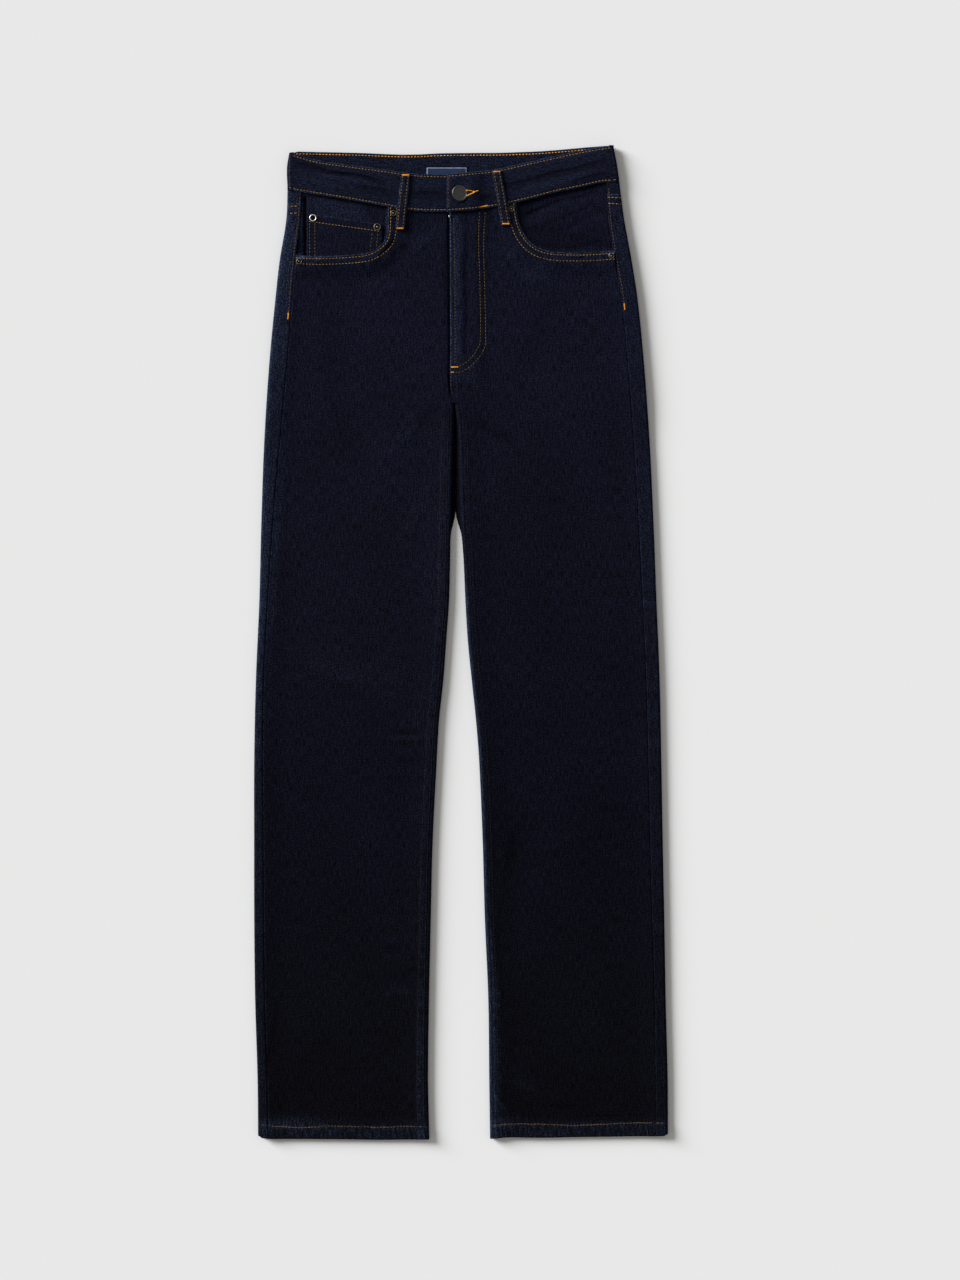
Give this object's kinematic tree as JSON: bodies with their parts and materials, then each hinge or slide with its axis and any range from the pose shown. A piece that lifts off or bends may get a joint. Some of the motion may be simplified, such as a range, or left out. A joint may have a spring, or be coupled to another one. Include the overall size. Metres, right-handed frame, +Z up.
{
  "type": "straight-leg jeans",
  "caption": "Straight-cut denim jeans laid flat and face up, waistband buttoned and fly closed, with curved front pockets, coin pocket, belt loops and turned hems.",
  "frame": {"origin": "on the surface that the jeans lie on, under the centre of their bounding box", "axes": "+Y from the hems to the waistband, +Z up from the surface towards the face side, +X to the right as seen from above"},
  "size_m": [0.4432, 1.0635, 0.0141],
  "materials": {
    "indigo_denim": "dark indigo twill",
    "button_metal": "dark satin",
    "antique_nickel": "aged satin",
    "zip_tape": "woven tape",
    "woven_label": "woven satin, bare"
  },
  "bodies": {
    "root": {"front_left": "indigo_denim", "front_right": "indigo_denim", "back_left": "indigo_denim", "back_right": "indigo_denim", "yoke_left": "indigo_denim", "yoke_right": "indigo_denim", "waistband_front_left": "indigo_denim", "waistband_front_right": "indigo_denim", "waistband_back": "indigo_denim", "pocket_facing_left": "indigo_denim", "pocket_facing_right": "indigo_denim", "coin_pocket": "indigo_denim", "back_pocket_left": "indigo_denim", "back_pocket_right": "indigo_denim", "belt_loop_front_left": "indigo_denim", "belt_loop_front_right": "indigo_denim", "belt_loop_back_left": "indigo_denim", "belt_loop_back_centre": "indigo_denim", "belt_loop_back_right": "indigo_denim", "waist_button": "button_metal", "rivet_left_waist": "antique_nickel", "rivet_left_side": "antique_nickel", "rivet_right_waist": "antique_nickel", "rivet_right_side": "antique_nickel", "rivet_coin_left": "antique_nickel", "rivet_coin_right": "antique_nickel", "zip_slider": "antique_nickel", "fly_zip": "zip_tape", "waist_label": "woven_label"}
  },
  "joints": []
}
